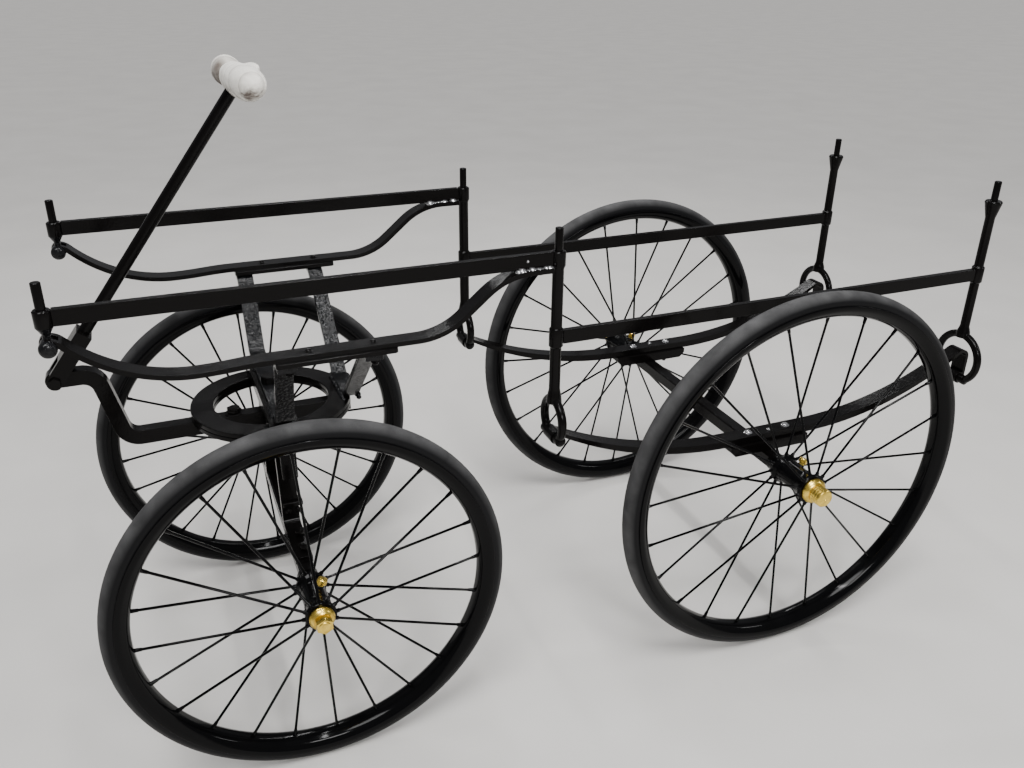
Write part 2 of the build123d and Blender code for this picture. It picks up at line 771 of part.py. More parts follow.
# Wrap round the grip: two padded lobes either side of the pole
with BuildPart() as wrap:
    with BuildSketch(Plane(origin=grip_at, x_dir=(0, 1, 0), z_dir=(1, 0, 0))):
        with BuildLine():
            half = wrap_length / 2
            lobe_r = wrap_d / 2
            cavity_half = grip_length / 2 + wrap_clear
            cavity_r = grip_d / 2 + wrap_clear
            Polyline(
                (-cavity_half, 0),
                (-half, 0),
                (-half, lobe_r * 0.55),
                (-half * 0.92, lobe_r * 0.85),
                (-half * 0.75, lobe_r),
                (-half * 0.4, lobe_r),
                (-wrap_waist, wrap_waist_d / 2),
                (wrap_waist, wrap_waist_d / 2),
                (half * 0.4, lobe_r),
                (half * 0.75, lobe_r),
                (half * 0.92, lobe_r * 0.85),
                (half, lobe_r * 0.55),
                (half, 0),
                (cavity_half, 0),
                (cavity_half, cavity_r),
                (-cavity_half, cavity_r),
                close=True,
            )
        make_face()
    revolve(axis=Axis(grip_at, (0, 1, 0)))
    with BuildSketch(Plane(origin=grip_at, z_dir=-lean_dir)):
        Circle(pole_d / 2 + wrap_clear)
    extrude(amount=wrap_d, mode=Mode.SUBTRACT)
write(wrap.part, "grip_wrap")
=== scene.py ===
"""Looks for the running gear of a light carriage: wire wheels, springs, fifth wheel and draw pole."""
import json
from math import atan2, cos, pi, radians, sin

import bmesh
import bpy
from bpy.props import FloatProperty, FloatVectorProperty, IntProperty, PointerProperty
from mathutils import Matrix, Vector


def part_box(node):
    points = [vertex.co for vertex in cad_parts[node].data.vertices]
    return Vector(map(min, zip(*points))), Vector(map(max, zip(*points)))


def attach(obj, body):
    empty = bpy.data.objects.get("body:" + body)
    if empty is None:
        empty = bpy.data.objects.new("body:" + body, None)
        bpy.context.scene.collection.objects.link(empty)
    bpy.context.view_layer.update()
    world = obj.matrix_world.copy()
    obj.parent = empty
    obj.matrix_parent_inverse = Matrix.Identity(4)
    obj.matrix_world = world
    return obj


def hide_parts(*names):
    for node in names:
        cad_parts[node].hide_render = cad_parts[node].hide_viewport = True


bl_info = {
    "name": "Carriage Running Gear",
    "version": (1, 0, 0),
    "blender": (4, 5, 0),
    "location": "View3D > Sidebar > Carriage",
    "description": "Builds the wheels, fittings, paint and stage of a carriage running gear",
    "category": "Add Mesh",
}

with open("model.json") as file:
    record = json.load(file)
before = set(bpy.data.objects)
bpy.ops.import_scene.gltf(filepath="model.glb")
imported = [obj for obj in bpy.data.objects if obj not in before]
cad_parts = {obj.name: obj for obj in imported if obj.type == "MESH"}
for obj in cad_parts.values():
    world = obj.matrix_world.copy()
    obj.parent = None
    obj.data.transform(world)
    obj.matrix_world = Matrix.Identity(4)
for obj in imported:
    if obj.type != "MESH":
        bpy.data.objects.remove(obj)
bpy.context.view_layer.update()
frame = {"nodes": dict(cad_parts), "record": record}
MM = 0.001
UP = Vector((0, 0, 1))
BODY_OF = {
    node: body
    for body, nodes in frame["record"]["behaviour"]["bodies"].items()
    for node in nodes
}

# Both ends' wheels: every length in millimetres, as the solids have them
WHEEL_ENDS = (
    # end, first spoke's angle, barrel d, flange d, cap d, nose across, nose length
    ("front", 12.0, 42.0, 52.0, 42.0, 33.0, 16.0),
    ("rear", 2.0, 48.0, 60.0, 50.0, 36.0, 24.0),
)
SIDES = (("left", 1), ("right", -1))
TYRE_DEPTH = 27.0
RIM_DEPTH = 19.0
SPOKES = 24
FLANGE_AT = 42.0
CROWN_R = 20.5
BED_HALF = 18.3
OILER_IN = 8.0
OILER_LEAN = Vector((-sin(radians(26)), 0, cos(radians(26))))


# Shapes

def turned(bm, outline, centre, axis, steps, closed=False):
    """Turns an outline of (distance along the axis, radius) in metres round the axis."""
    axis = Vector(axis).normalized()
    across = axis.orthogonal().normalized()
    along = bm.verts.layers.float.get("along") or bm.verts.layers.float.new("along")
    verts = []
    run = 0.0
    for i, (out, radius) in enumerate(outline):
        vert = bm.verts.new(centre + axis * out + across * radius)
        if i:
            run += (vert.co - verts[-1].co).length
        vert[along] = run
        verts.append(vert)
    edges = [bm.edges.new(pair) for pair in zip(verts, verts[1:])]
    if closed:
        edges.append(bm.edges.new((verts[-1], verts[0])))
    bmesh.ops.spin(
        bm, geom=verts + edges, cent=centre, axis=axis, angle=2 * pi, steps=steps,
        use_merge=True,
    )


def in_metres(outline):
    """An outline written in millimetres, brought to metres."""
    return [(a * MM, r * MM) for a, r in outline]


def place_on(at, axis):
    """Matrix that stands a shape's Z on an axis, at a point."""
    return Matrix.Translation(at) @ Vector(axis).to_track_quat("Z", "Y").to_matrix().to_4x4()


def hex_head(bm, at, axis, across, height, edge=0.8):
    """Six-sided head with its edges eased, standing on a face."""
    axis = Vector(axis).normalized()
    made = bmesh.ops.create_cone(
        bm, cap_ends=True, segments=6, radius1=across / 2, radius2=across / 2, depth=height,
        matrix=place_on(at + axis * height / 2, axis),
    )
    edges = {e for v in made["verts"] for e in v.link_edges}
    bmesh.ops.bevel(
        bm, geom=list(edges), offset=edge * MM, offset_type="OFFSET", segments=2,
        profile=0.5, affect="EDGES", material=-1, clamp_overlap=True,
    )


def round_head(bm, at, axis, across, height, steps=24):
    """Domed head on a thin washer, standing on a face."""
    r = across / 2
    outline = (
        (0, 0), (0, r * 1.3), (height * 0.16, r * 1.3), (height * 0.24, r * 1.2),
        (height * 0.25, r), (height * 0.5, r * 0.96), (height * 0.74, r * 0.8),
        (height * 0.92, r * 0.5), (height, r * 0.2), (height, 0),
    )
    turned(bm, outline, at, axis, steps)


def nut_end(bm, at, axis, across, height):
    """Nut on a washer with the bolt's rounded end standing out of it."""
    axis = Vector(axis).normalized()
    thick, rim = 1.6 * MM, across * 0.62
    washer = ((0, 0), (0, rim), (1.2 * MM, rim), (thick, across * 0.56), (thick, 0))
    turned(bm, washer, at, axis, 24)
    hex_head(bm, at + axis * thick, axis, across, height)
    r = across * 0.29
    end = ((0, 0), (0, r), (3.5 * MM, r), (4.5 * MM, r * 0.8), (4.5 * MM, 0))
    turned(bm, end, at + axis * (height + thick), axis, 20)


def block(bm, low, high, edge=1.5):
    """Block between two corners, with its edges eased."""
    size = high - low
    made = bmesh.ops.create_cube(
        bm, size=1, matrix=Matrix.Translation((low + high) / 2) @ Matrix.Diagonal((*size, 1)),
    )
    edges = {e for v in made["verts"] for e in v.link_edges}
    bmesh.ops.bevel(
        bm, geom=list(edges), offset=edge * MM, offset_type="OFFSET", segments=3,
        profile=0.5, affect="EDGES", material=-1, clamp_overlap=True,
    )


def make_piece(name, bm, body, finishes, nodes=(), sharp=38.0):
    """Turns a bmesh into a piece that rides on a body and may stand for CAD nodes."""
    bmesh.ops.remove_doubles(bm, verts=bm.verts, dist=2e-6)
    bmesh.ops.recalc_face_normals(bm, faces=bm.faces)
    mesh = bpy.data.meshes.new(name)
    bm.to_mesh(mesh)
    bm.free()
    mesh.shade_smooth()
    mesh.set_sharp_from_angle(angle=radians(sharp))
    for finish in finishes:
        mesh.materials.append(bpy.data.materials[finish])
    piece = bpy.data.objects.new(name, mesh)
    bpy.context.scene.collection.objects.link(piece)
    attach(piece, body)
    if nodes:
        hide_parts(*nodes)
    return piece


def wheel_place(end, side, sign):
    """Centre, radius and outboard direction of one wheel, read from its tyre's box."""
    low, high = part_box(f"{end}_tyre_{side}")
    return (low + high) / 2, (high.z - low.z) / 2, Vector((0, sign, 0))


def wheel_part(part, bm, end, side):
    """Makes a piece in wheel paint that stands for its share of a wheel's solid."""
    wheel = f"{end}_wheel_{side}"
    make_piece(f"{end}_{part}_{side}", bm, BODY_OF[wheel], ["wheel paint"], [wheel])


# Finishes

def node(tree, kind, inputs=(), **settings):
    """Adds a shader node; an input given an output socket is linked to it."""
    made = tree.nodes.new(kind)
    for key, value in settings.items():
        setattr(made, key, value)
    for key, value in dict(inputs).items():
        if isinstance(value, bpy.types.NodeSocket):
            tree.links.new(value, made.inputs[key])
        else:
            made.inputs[key].default_value = value
    return made


def maths(tree, operation, a, b=0.0, clamp=False):
    """One Math node's result."""
    return node(tree, "ShaderNodeMath", {0: a, 1: b}, operation=operation, use_clamp=clamp).outputs[0]


def spread(tree, value, low, high, to_low=0.0, to_high=1.0):
    """A value brought from one range to another, kept inside it."""
    made = node(tree, "ShaderNodeMapRange", {0: value, 1: low, 2: high, 3: to_low, 4: to_high})
    return made.outputs[0]


def mix_colour(tree, amount, a, b):
    """Two colours mixed."""
    return node(tree, "ShaderNodeMix", {0: amount, 6: a, 7: b}, data_type="RGBA").outputs[2]


def object_place(tree):
    """Place on the piece, for patterns."""
    return node(tree, "ShaderNodeTexCoord").outputs["Object"]


def facing_up(tree):
    """How far a face looks up, from -1 to 1."""
    normal = node(tree, "ShaderNodeNewGeometry").outputs["Normal"]
    return node(tree, "ShaderNodeSeparateXYZ", {0: normal}).outputs["Z"]


def painted(tree, name):
    """A value that the piece's own mesh carries."""
    return node(tree, "ShaderNodeAttribute", attribute_name=name).outputs["Fac"]


def noise(tree, place, scale, detail, distortion=0.0):
    """Soft noise at a place."""
    inputs = {"Vector": place, "Scale": scale, "Detail": detail, "Distortion": distortion}
    return node(tree, "ShaderNodeTexNoise", inputs).outputs["Fac"]


def new_group(name, inputs, outputs):
    """Empty shader group with named sockets, and its two end nodes."""
    group = bpy.data.node_groups.new(name, "ShaderNodeTree")
    for label, kind, value in inputs:
        socket = group.interface.new_socket(name=label, in_out="INPUT", socket_type=kind)
        socket.default_value = value
    for label, kind in outputs:
        group.interface.new_socket(name=label, in_out="OUTPUT", socket_type=kind)
    return group, group.nodes.new("NodeGroupInput"), group.nodes.new("NodeGroupOutput")


def brushed_paint_group():
    """Thick brushed enamel: orange peel, soft runs, and lumps of the iron below."""
    group, given, result = new_group(
        "brushed paint",
        (("Peel Scale", "NodeSocketFloat", 260.0), ("Lumps", "NodeSocketFloat", 0.5)),
        (("Height", "NodeSocketFloat"), ("Tone", "NodeSocketFloat")),
    )
    place = object_place(group)
    peel = noise(group, place, given.outputs["Peel Scale"], 2.0)
    runs = noise(group, place, 34.0, 3.0, 0.6)
    pits = node(group, "ShaderNodeTexVoronoi", {"Vector": place, "Scale": 300.0}, feature="F1")
    raised = maths(group, "SUBTRACT", 1.0, pits.outputs["Distance"])
    lumps = maths(group, "MULTIPLY", raised, given.outputs["Lumps"])
    high = maths(group, "ADD", maths(group, "MULTIPLY", peel, 0.5), lumps)
    high = maths(group, "ADD", high, runs)
    group.links.new(high, result.inputs["Height"])
    tone = maths(group, "ADD", maths(group, "MULTIPLY", peel, 0.35),
                 maths(group, "MULTIPLY", runs, 0.65))
    group.links.new(spread(group, tone, 0.3, 0.7), result.inputs["Tone"])
    return group


def settled_dust_group():
    """Dust that settles on faces that look up, in soft patches."""
    group, given, result = new_group(
        "settled dust",
        (("Amount", "NodeSocketFloat", 0.3), ("Patch Scale", "NodeSocketFloat", 18.0)),
        (("Mask", "NodeSocketFloat"),),
    )
    place = object_place(group)
    facing = facing_up(group)
    top = spread(group, facing, 0.35, 0.98)
    patch = noise(group, place, given.outputs["Patch Scale"], 6.0)
    fleck = noise(group, place, 900.0, 1.0)
    patches = maths(group, "MULTIPLY", spread(group, patch, 0.35, 0.7), top)
    flecks = maths(group, "MULTIPLY", patches, spread(group, fleck, 0.35, 0.65, 0.4, 1.0))
    group.links.new(maths(group, "MULTIPLY", flecks, given.outputs["Amount"]), result.inputs["Mask"])
    return group


def pebbles_group():
    """Hammered surface: rounded cells of uneven size."""
    group, given, result = new_group(
        "pebbles",
        (("Cell Scale", "NodeSocketFloat", 260.0),),
        (("Height", "NodeSocketFloat"), ("Tone", "NodeSocketFloat")),
    )
    place = object_place(group)
    bend = node(group, "ShaderNodeTexNoise", {"Vector": place, "Scale": 120.0, "Detail": 2.0})
    moved = node(group, "ShaderNodeVectorMath", {0: bend.outputs["Color"], 3: 0.006}, operation="SCALE")
    spot = node(group, "ShaderNodeVectorMath", {0: place, 1: moved.outputs[0]}, operation="ADD")
    inputs = {"Vector": spot.outputs[0], "Scale": given.outputs["Cell Scale"]}
    cells = node(group, "ShaderNodeTexVoronoi", inputs, feature="SMOOTH_F1")
    dome = maths(group, "SUBTRACT", 1.0, cells.outputs["Distance"])
    group.links.new(dome, result.inputs["Height"])
    tone = node(group, "ShaderNodeSeparateColor", {0: cells.outputs["Color"]})
    group.links.new(tone.outputs[0], result.inputs["Tone"])
    return group


def new_finish(name, **fixed):
    """Material with a Principled shader whose fixed sockets are set by name."""
    material = bpy.data.materials.new(name)
    material.use_nodes = True
    shader = material.node_tree.nodes["Principled BSDF"]
    for key, value in fixed.items():
        shader.inputs[key.replace("_", " ")].default_value = value
    return material, material.node_tree, shader


def group_node(tree, group, **inputs):
    """Places a shader group with its own values."""
    made = tree.nodes.new("ShaderNodeGroup")
    made.node_tree = group
    for key, value in inputs.items():
        made.inputs[key.replace("_", " ")].default_value = value
    return made


def bump(tree, shader, height, strength, distance):
    """Links a height to the shader's normal."""
    made = node(tree, "ShaderNodeBump", {"Height": height, "Strength": strength, "Distance": distance})
    tree.links.new(made.outputs[0], shader.inputs["Normal"])


def paint_finish(name, colour, dust_colour, groups, smooth, rough, peel, lumps, dust, depth):
    """Black enamel on iron: brushed on the frame, sprayed and smoother on the wheels."""
    material, tree, shader = new_finish(name, Specular_IOR_Level=0.1)
    brushed = group_node(tree, groups["paint"], Peel_Scale=peel, Lumps=lumps)
    dusty = group_node(tree, groups["dust"], Amount=dust)
    mask = dusty.outputs["Mask"]
    tree.links.new(mix_colour(tree, mask, colour, dust_colour), shader.inputs["Base Color"])
    dull = spread(tree, brushed.outputs["Tone"], 0.0, 1.0, smooth, rough)
    dusted = maths(tree, "ADD", dull, maths(tree, "MULTIPLY", mask, 0.5), True)
    tree.links.new(dusted, shader.inputs["Roughness"])
    bump(tree, shader, brushed.outputs["Height"], depth, 0.5 * MM)
    return material


def hammered_finish(name, light, dark, groups):
    """Hammered silver-grey paint whose cells catch the light one by one."""
    material, tree, shader = new_finish(name, Specular_IOR_Level=0.2)
    cells = group_node(tree, groups["pebbles"], Cell_Scale=230.0)
    place = object_place(tree)
    cloud = noise(tree, place, 26.0, 5.0)
    tone = maths(tree, "MULTIPLY", cells.outputs["Tone"], 0.45)
    tone = maths(tree, "ADD", tone, spread(tree, cloud, 0.35, 0.68, 0.0, 0.6), True)
    tree.links.new(mix_colour(tree, tone, dark, light), shader.inputs["Base Color"])
    tree.links.new(spread(tree, tone, 0.0, 1.0, 0.0, 0.12), shader.inputs["Metallic"])
    tree.links.new(spread(tree, cloud, 0.3, 0.7, 0.26, 0.14), shader.inputs["Roughness"])
    bump(tree, shader, cells.outputs["Height"], 0.8, 1.3 * MM)
    return material


def rubber_finish(name, colour, dust_colour, groups):
    """Solid rubber, dull and dusty on its crown."""
    material, tree, shader = new_finish(name, Specular_IOR_Level=0.1)
    place = object_place(tree)
    crown = painted(tree, "crown")
    grain = noise(tree, place, 700.0, 3.0)
    cloud = noise(tree, place, 22.0, 6.0, 0.4)
    worn = maths(tree, "MULTIPLY", spread(tree, crown, 0.35, 1.0), spread(tree, cloud, 0.25, 0.7, 0.35, 1.0))
    settled = group_node(tree, groups["dust"], Amount=0.3, Patch_Scale=30.0)
    dusty = maths(tree, "ADD", maths(tree, "MULTIPLY", worn, 0.6), settled.outputs["Mask"], True)
    tree.links.new(mix_colour(tree, dusty, colour, dust_colour), shader.inputs["Base Color"])
    dull = maths(tree, "ADD", spread(tree, crown, 0.0, 1.0, 0.36, 0.56), maths(tree, "MULTIPLY", cloud, 0.12))
    tree.links.new(dull, shader.inputs["Roughness"])
    height = maths(tree, "ADD", maths(tree, "MULTIPLY", grain, 0.5), cloud)
    bump(tree, shader, height, 0.3, 0.3 * MM)
    return material


def brass_finish(name, colour, tarnish):
    """Turned brass: fine tool rings, a little tarnish in the hollows."""
    material, tree, shader = new_finish(name)
    place = object_place(tree)
    along = painted(tree, "along")
    inputs = {"W": along, "Scale": 2600.0, "Detail": 2.0}
    rings = node(tree, "ShaderNodeTexNoise", inputs, noise_dimensions="1D")
    cloud = noise(tree, place, 85.0, 5.0)
    aged = spread(tree, cloud, 0.45, 0.72, 0.0, 0.75)
    tree.links.new(mix_colour(tree, aged, colour, tarnish), shader.inputs["Base Color"])
    shader.inputs["Metallic"].default_value = 1.0
    tree.links.new(maths(tree, "ADD", spread(tree, rings.outputs["Fac"], 0.3, 0.7, 0.2, 0.3),
                         maths(tree, "MULTIPLY", aged, 0.16)), shader.inputs["Roughness"])
    bump(tree, shader, rings.outputs["Fac"], 0.25, 0.12 * MM)
    return material


def bright_steel_finish(name, colour, stain, groups):
    """Bare or chipped steel of bolt heads and welds, under thin black."""
    material, tree, shader = new_finish(name, Coat_Weight=0.6, Coat_Roughness=0.05)
    cells = group_node(tree, groups["pebbles"], Cell_Scale=520.0)
    place = object_place(tree)
    cloud = noise(tree, place, 140.0, 4.0)
    shown = spread(tree, cloud, 0.32, 0.52)
    tree.links.new(mix_colour(tree, shown, stain, colour), shader.inputs["Base Color"])
    tree.links.new(spread(tree, shown, 0.0, 1.0, 0.5, 0.9), shader.inputs["Metallic"])
    tree.links.new(spread(tree, cloud, 0.3, 0.7, 0.32, 0.18), shader.inputs["Roughness"])
    bump(tree, shader, cells.outputs["Height"], 0.4, 0.4 * MM)
    return material


def wrap_finish(name, colour, soil_and_shade):
    """White cotton strip, wound round the grip: weave, lint, and soiling mixed with painted shade in the
    hollows and on the underside.
    """
    material, tree, shader = new_finish(name, Sheen_Weight=0.25, Sheen_Roughness=0.5)
    place = object_place(tree)
    axes = node(tree, "ShaderNodeSeparateXYZ", {0: place})
    around = painted(tree, "around")
    # Painted shade mixed with soiling, carried by the mesh: where the strips lap and round the waist
    hollow = painted(tree, "hollow")
    warp = maths(tree, "SINE", maths(tree, "MULTIPLY", axes.outputs["Y"], 5200.0))
    weft = maths(tree, "SINE", maths(tree, "MULTIPLY", around, 5200.0))
    weave = maths(tree, "ABSOLUTE", maths(tree, "MULTIPLY", warp, weft))
    lint = noise(tree, place, 380.0, 6.0)
    cloud = noise(tree, place, 48.0, 5.0, 0.5)
    facing = facing_up(tree)
    # Painted shade mixed with soiling: the cloth is darker, in patches, on faces that look down
    below_shade_and_soil = spread(tree, facing, 0.05, -0.7, 0.0, 0.85)
    soil_and_painted_shade = maths(tree, "MULTIPLY", spread(tree, cloud, 0.42, 0.66), maths(tree, "ADD", below_shade_and_soil, 0.16))
    soil_and_painted_shade = maths(tree, "ADD", soil_and_painted_shade, maths(tree, "MULTIPLY", hollow, 0.85), True)
    # The soil colour is laid on both as soiling and as painted shade
    tree.links.new(mix_colour(tree, soil_and_painted_shade, colour, soil_and_shade), shader.inputs["Base Color"])
    tree.links.new(spread(tree, lint, 0.3, 0.7, 0.8, 0.95), shader.inputs["Roughness"])
    height = maths(tree, "ADD", maths(tree, "MULTIPLY", weave, 0.45), lint)
    bump(tree, shader, height, 0.45, 0.35 * MM)
    return material


def floor_finish(name, colour):
    """Plain pale floor with a barely seen mottle."""
    material, tree, shader = new_finish(name, Roughness=0.7)
    place = object_place(tree)
    cloud = noise(tree, place, 3.0, 6.0)
    darker = tuple(c * 0.94 for c in colour[:3]) + (1,)
    mottle = spread(tree, cloud, 0.35, 0.65)
    tree.links.new(mix_colour(tree, mottle, darker, colour), shader.inputs["Base Color"])
    return material


# Settings

def colour_setting(name, description, default):
    """A colour that a user may change."""
    return FloatVectorProperty(
        name=name, description=description, default=default, size=4, min=0, max=1, subtype="COLOR",
    )


def length_setting(name, description, default, least=0.0):
    """A length in metres that a user may change."""
    return FloatProperty(name=name, description=description, default=default, min=least, unit="LENGTH")


class CARRIAGE_PG_finishes(bpy.types.PropertyGroup):
    """Colours of the paint, rubber, brass and cloth."""

    paint: colour_setting(
        "Frame paint", "Black enamel on the rails, posts and springs", (0.0028, 0.0024, 0.0023, 1),
    )
    wheel_paint: colour_setting(
        "Wheel paint", "Gloss black on the rims, spokes and hubs", (0.0018, 0.0018, 0.002, 1),
    )
    hammered_light: colour_setting(
        "Hammered light", "Bright cells of the hammered paint on the yokes", (0.010, 0.0102, 0.011, 1),
    )
    hammered_dark: colour_setting(
        "Hammered dark", "Dark cells of the hammered paint on the yokes", (0.002, 0.002, 0.0024, 1),
    )
    rubber: colour_setting("Rubber", "Solid tyres", (0.0055, 0.0055, 0.006, 1))
    dust: colour_setting("Dust", "Dust on the tyres and on faces that look up", (0.13, 0.129, 0.13, 1))
    brass: colour_setting("Brass", "Hub caps and oilers", (0.88, 0.63, 0.12, 1))
    tarnish: colour_setting("Tarnish", "Older patches of the brass", (0.44, 0.29, 0.05, 1))
    steel: colour_setting("Bright steel", "Bolt heads and weld beads", (0.55, 0.55, 0.56, 1))
    cloth: colour_setting("Wrap cloth", "White cotton strip round the grip", (0.92, 0.885, 0.81, 1))
    # The soiling colour also paints the cloth's shade: its hollows, its waist and its underside
    soil_and_shade: colour_setting("Soiling", "Grubby hollows of the cloth", (0.115, 0.085, 0.065, 1))


class CARRIAGE_PG_wheels(bpy.types.PropertyGroup):
    """Sizes of the wheels' own detail."""

    steps: IntProperty(
        name="Rim facets", description="Facets round a rim or tyre", default=160, min=48, max=256,
    )
    spoke: length_setting("Spoke", "Thickness of a spoke", 4.8 * MM, 0.002)
    nipple: length_setting(
        "Nipple", "Thickness of the nut that tightens a spoke in the rim", 7.0 * MM, 0.003,
    )
    nipple_length: length_setting("Nipple length", "Length of that nut", 15.0 * MM, 0.004)


class CARRIAGE_PG_ironwork(bpy.types.PropertyGroup):
    """Sizes of the frame's edges, bolts and welds."""

    edge: length_setting("Eased edge", "Width of the worn, painted edges of the iron", 1.1 * MM, 0.0002)
    bead: length_setting("Weld bead", "Radius of the weld under the front rails", 8.0 * MM, 0.001)


class CARRIAGE_PG_wrap(bpy.types.PropertyGroup):
    """Sizes of the cloth round the grip."""

    start: length_setting("Start size", "How much smaller the pad is before it swells", 0.5 * MM)
    voxel: length_setting("Mesh size", "Size of the pad's mesh before it swells", 4.5 * MM, 0.002)
    most: length_setting("Most swelling", "How far a point of the cloth may move", 2.0 * MM)
    strip: length_setting("Strip", "Width of the wound strip that shows", 37.0 * MM, 0.005)
    step: length_setting("Strip thickness", "Height of the wound strip's edge", 0.9 * MM)


class CARRIAGE_PG_stage(bpy.types.PropertyGroup):
    """Floor, lights and camera."""

    eye: FloatVectorProperty(
        name="Camera place", description="Where the camera stands",
        default=(0.7153, 1.5701, 1.3102), subtype="TRANSLATION", unit="LENGTH",
    )
    turn: FloatVectorProperty(
        name="Camera turn", description="How the camera is turned, as XYZ angles",
        default=(radians(64.6771), radians(-0.5615), radians(157.7605)), subtype="EULER", unit="ROTATION",
    )
    lens: FloatProperty(
        name="Focal length", description="Focal length on a 36 mm sensor, in mm", default=32.555,
    )
    floor: colour_setting("Floor", "Plain pale floor", (0.70, 0.68, 0.65, 1))


# Operators

class CARRIAGE_OT_finishes(bpy.types.Operator):
    """Make the paints, rubber, brass, steel and cloth"""

    bl_idname = "carriage.finishes"
    bl_label = "Finishes"

    def execute(self, context):
        colours = context.scene.carriage_finishes
        groups = {
            "paint": brushed_paint_group(),
            "dust": settled_dust_group(),
            "pebbles": pebbles_group(),
        }
        rows = (
            # name, colour, smoothest, roughest, peel scale, lumps, dust, depth
            ("frame paint", colours.paint, 0.12, 0.24, 200.0, 0.35, 0.03, 0.30),
            ("wheel paint", colours.wheel_paint, 0.05, 0.12, 380.0, 0.08, 0.015, 0.12),
        )
        for name, colour, smooth, rough, peel, lumps, dust, depth in rows:
            paint_finish(name, colour, colours.dust, groups, smooth, rough, peel, lumps, dust, depth)
        hammered_finish("hammered paint", colours.hammered_light, colours.hammered_dark, groups)
        rubber_finish("rubber", colours.rubber, colours.dust, groups)
        # Not called brass: the frame brings a material of that name, which a lookup would find first
        brass_finish("turned brass", colours.brass, colours.tarnish)
        bright_steel_finish("bright steel", colours.steel, colours.paint, groups)
        wrap_finish("wrap cloth", colours.cloth, colours.soil_and_shade)
        return {"FINISHED"}


class CARRIAGE_OT_tyres(bpy.types.Operator):
    """Make the four solid tyres"""

    bl_idname = "carriage.tyres"
    bl_label = "Tyres"

    def execute(self, context):
        steps = context.scene.carriage_wheels.steps
        for end, *_ in WHEEL_ENDS:
            for side, sign in SIDES:
                centre, radius, out = wheel_place(end, side, sign)
                crown_r = CROWN_R * MM
                bm = bmesh.new()
                crown = bm.verts.layers.float.new("crown")
                top = centre + UP * (radius - crown_r)
                first = bm.verts.new(top + out * crown_r)
                bmesh.ops.spin(bm, geom=[first], cent=top, axis=out.cross(UP), angle=pi, steps=20)
                for vert in bm.verts:
                    vert[crown] = max(0.0, (vert.co.z - top.z) / crown_r)
                foot = centre.z + radius - TYRE_DEPTH * MM
                ends = [v for v in bm.verts if len(v.link_edges) == 1]
                for vert in ends:
                    side_y = centre.y + (vert.co.y - centre.y) * BED_HALF / CROWN_R
                    low = bm.verts.new((vert.co.x, side_y, foot))
                    bm.edges.new((vert, low))
                bmesh.ops.spin(
                    bm, geom=bm.verts[:] + bm.edges[:], cent=centre, axis=out, angle=2 * pi,
                    steps=steps, use_merge=True,
                )
                close_ring(bm)
                name = f"{end}_tyre_{side}"
                make_piece(f"{name}_rubber", bm, BODY_OF[name], ["rubber"], [name])
        return {"FINISHED"}


def close_ring(bm):
    """Bridges the two open rims at a tyre's bed."""
    open_edges = [e for e in bm.edges if e.is_boundary]
    bmesh.ops.bridge_loops(bm, edges=open_edges)


class CARRIAGE_OT_rims(bpy.types.Operator):
    """Make the four rims: a flared channel over a deep rounded back"""

    bl_idname = "carriage.rims"
    bl_label = "Rims"

    def execute(self, context):
        steps = context.scene.carriage_wheels.steps
        outboard = (
            # across the rim, from the tyre's bed, how far the corner is rounded
            (18.5, 0.0, 0.4), (21.0, 5.4, 0.7), (23.0, 5.4, 0.7),
            (23.0, -3.0, 2.6), (16.5, -14.2, 3.0), (7.0, -19.0, 3.0),
        )
        section = [(a, r, c) for a, r, c in outboard] + [(-a, r, c) for a, r, c in reversed(outboard)]
        for end, *_ in WHEEL_ENDS:
            for side, sign in SIDES:
                centre, radius, out = wheel_place(end, side, sign)
                bed = radius - TYRE_DEPTH * MM
                bm = bmesh.new()
                verts = [bm.verts.new(centre + out * a * MM + UP * (bed + r * MM)) for a, r, c in section]
                for pair in zip(verts, verts[1:] + verts[:1]):
                    bm.edges.new(pair)
                for vert, (a, r, corner) in zip(verts, section):
                    bmesh.ops.bevel(
                        bm, geom=[vert], offset=corner * MM, offset_type="OFFSET", segments=3,
                        profile=0.5, affect="VERTICES", material=-1, clamp_overlap=True,
                    )
                bmesh.ops.spin(
                    bm, geom=bm.verts[:] + bm.edges[:], cent=centre, axis=out, angle=2 * pi,
                    steps=steps, use_merge=True,
                )
                wheel_part("rim", bm, end, side)
        return {"FINISHED"}


class CARRIAGE_OT_spokes(bpy.types.Operator):
    """Make the wire spokes with their collars and nipples"""

    bl_idname = "carriage.spokes"
    bl_label = "Spokes"

    def execute(self, context):
        sizes = context.scene.carriage_wheels
        wire, nut = sizes.spoke / 2, sizes.nipple / 2
        for end, first, _, flange, *_ in WHEEL_ENDS:
            for side, sign in SIDES:
                centre, radius, out = wheel_place(end, side, sign)
                inner = radius - (TYRE_DEPTH + RIM_DEPTH) * MM
                bm = bmesh.new()
                for i in range(SPOKES):
                    turn = radians(first + 360 / SPOKES * i)
                    ray = Vector((cos(turn), 0, sin(turn)))
                    lean = 1 if i % 2 else -1
                    root = centre + ray * (flange / 2 - 4) * MM + out * lean * FLANGE_AT * MM
                    tip = centre + ray * (inner + 3 * MM)
                    length = (tip - root).length
                    shoulder = length - sizes.nipple_length
                    outline = (
                        (0, 0), (0, wire * 1.55), (8 * MM, wire * 1.5), (9.5 * MM, wire),
                        (shoulder, wire), (shoulder + 1.5 * MM, nut * 0.85), (length - 4 * MM, nut),
                        (length, nut), (length, 0),
                    )
                    turned(bm, outline, root, tip - root, 10)
                wheel_part("spokes", bm, end, side)
        return {"FINISHED"}


